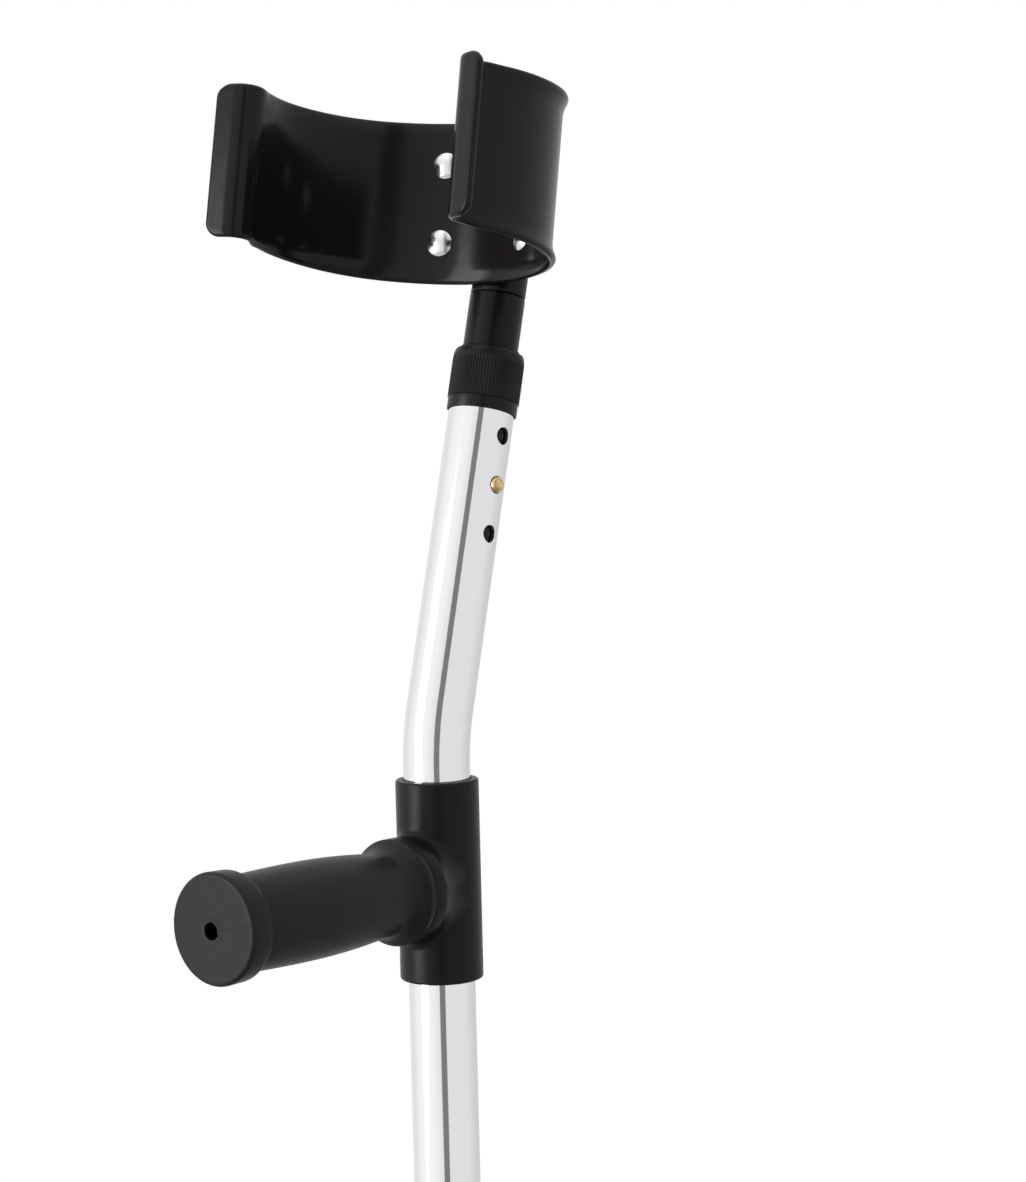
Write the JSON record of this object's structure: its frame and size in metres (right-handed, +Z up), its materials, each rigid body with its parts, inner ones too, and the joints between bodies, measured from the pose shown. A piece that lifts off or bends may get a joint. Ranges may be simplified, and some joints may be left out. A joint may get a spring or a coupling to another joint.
{
  "type": "forearm crutch",
  "caption": "Adjustable forearm crutch: bent metal tube with a moulded handle, an open half-cuff on a sliding arm, locking collars and a sliding leg on a rubber ferrule.",
  "frame": {"origin": "centre of the ferrule's sole, with the leg in its middle hole", "axes": "+Z up along the lower tube; the handle and the cuff's opening point to -Y, the way the user faces; the upper tube leans back to +Y; the snap buttons lie on +X and -X"},
  "size_m": [0.1292, 0.1795, 1.1435],
  "materials": {
    "bright_aluminium": "bright polished and clear anodised",
    "black_anodised": "satin black anodised",
    "black_nylon": "satin moulded",
    "grip_polymer": "matte moulded",
    "cuff_vinyl": "semi-gloss dipped vinyl over a bent strip",
    "nickel_plate": "bright nickel plated",
    "brass": "plain turned",
    "spring_steel": "plain rolled",
    "zinc_plated_steel": "zinc plated",
    "grey_rubber": "matte moulded"
  },
  "bodies": {
    "frame": {"main_tube": "bright_aluminium", "tee_sleeve": "black_nylon", "hand_grip": "grip_polymer", "handle_core": "bright_aluminium", "core_plug": "zinc_plated_steel", "handle_bolt": "zinc_plated_steel", "handle_washer": "zinc_plated_steel", "upper_split_bush": "black_nylon", "lower_split_bush": "black_nylon"},
    "upper_nut": {"upper_collar_nut": "black_nylon"},
    "lower_nut": {"lower_collar_nut": "black_nylon"},
    "arm": {"arm_stem": "black_anodised", "arm_clip_bow": "spring_steel", "cuff_bracket": "black_nylon", "bracket_pin": "zinc_plated_steel", "forearm_cuff": "cuff_vinyl", "cuff_rivet_1": "nickel_plate", "cuff_rivet_2": "nickel_plate", "cuff_rivet_3": "nickel_plate", "cuff_rivet_4": "nickel_plate", "rivet_washer_1": "zinc_plated_steel", "rivet_washer_2": "zinc_plated_steel", "rivet_washer_3": "zinc_plated_steel", "rivet_washer_4": "zinc_plated_steel"},
    "arm_button_l": {"arm_button_left": "brass", "arm_leaf_left": "spring_steel"},
    "arm_button_r": {"arm_button_right": "brass", "arm_leaf_right": "spring_steel"},
    "leg": {"leg_tube": "bright_aluminium", "leg_clip_bow": "spring_steel", "ferrule": "grey_rubber", "ferrule_washer": "zinc_plated_steel"},
    "leg_button_l": {"leg_button_left": "brass", "leg_leaf_left": "spring_steel"},
    "leg_button_r": {"leg_button_right": "brass", "leg_leaf_right": "spring_steel"}
  },
  "joints": [
    {"name": "arm_slide", "type": "slide", "parent": "frame", "child": "arm", "axis": [0, 0.2538, 0.9673], "range_m": [-0.01905, 0.01905], "deforming": ["arm_button_left", "arm_button_right", "arm_leaf_left", "arm_leaf_right"]},
    {"name": "leg_slide", "type": "slide", "parent": "frame", "child": "leg", "axis": [0, 0, 1], "range_m": [-0.0762, 0.0762]},
    {"name": "upper_nut_turn", "type": "hinge", "parent": "frame", "child": "upper_nut", "pos_m": [0, 0.03413, 1.0257], "axis": [0, 0.2538, 0.9673], "continuous": true},
    {"name": "lower_nut_turn", "type": "hinge", "parent": "frame", "child": "lower_nut", "pos_m": [0, 0, 0.38], "axis": [0, 0, -1], "continuous": true},
    {"name": "arm_button_l_press", "type": "hinge", "parent": "arm", "child": "arm_button_l", "pos_m": [-0.00805, 0.03325, 1.02236], "axis": [0, -0.9673, 0.2538], "range_deg": [0, 8], "stiffness_Nm_per_rad": 3},
    {"name": "arm_button_r_press", "type": "hinge", "parent": "arm", "child": "arm_button_r", "pos_m": [0.00805, 0.03325, 1.02236], "axis": [0, 0.9673, -0.2538], "range_deg": [0, 8], "stiffness_Nm_per_rad": 3},
    {"name": "leg_button_l_press", "type": "hinge", "parent": "leg", "child": "leg_button_l", "pos_m": [-0.00805, 0, 0.4474], "axis": [0, 1, 0], "range_deg": [0, 8], "stiffness_Nm_per_rad": 3},
    {"name": "leg_button_r_press", "type": "hinge", "parent": "leg", "child": "leg_button_r", "pos_m": [0.00805, 0, 0.4474], "axis": [0, -1, 0], "range_deg": [0, 8], "stiffness_Nm_per_rad": 3}
  ]
}
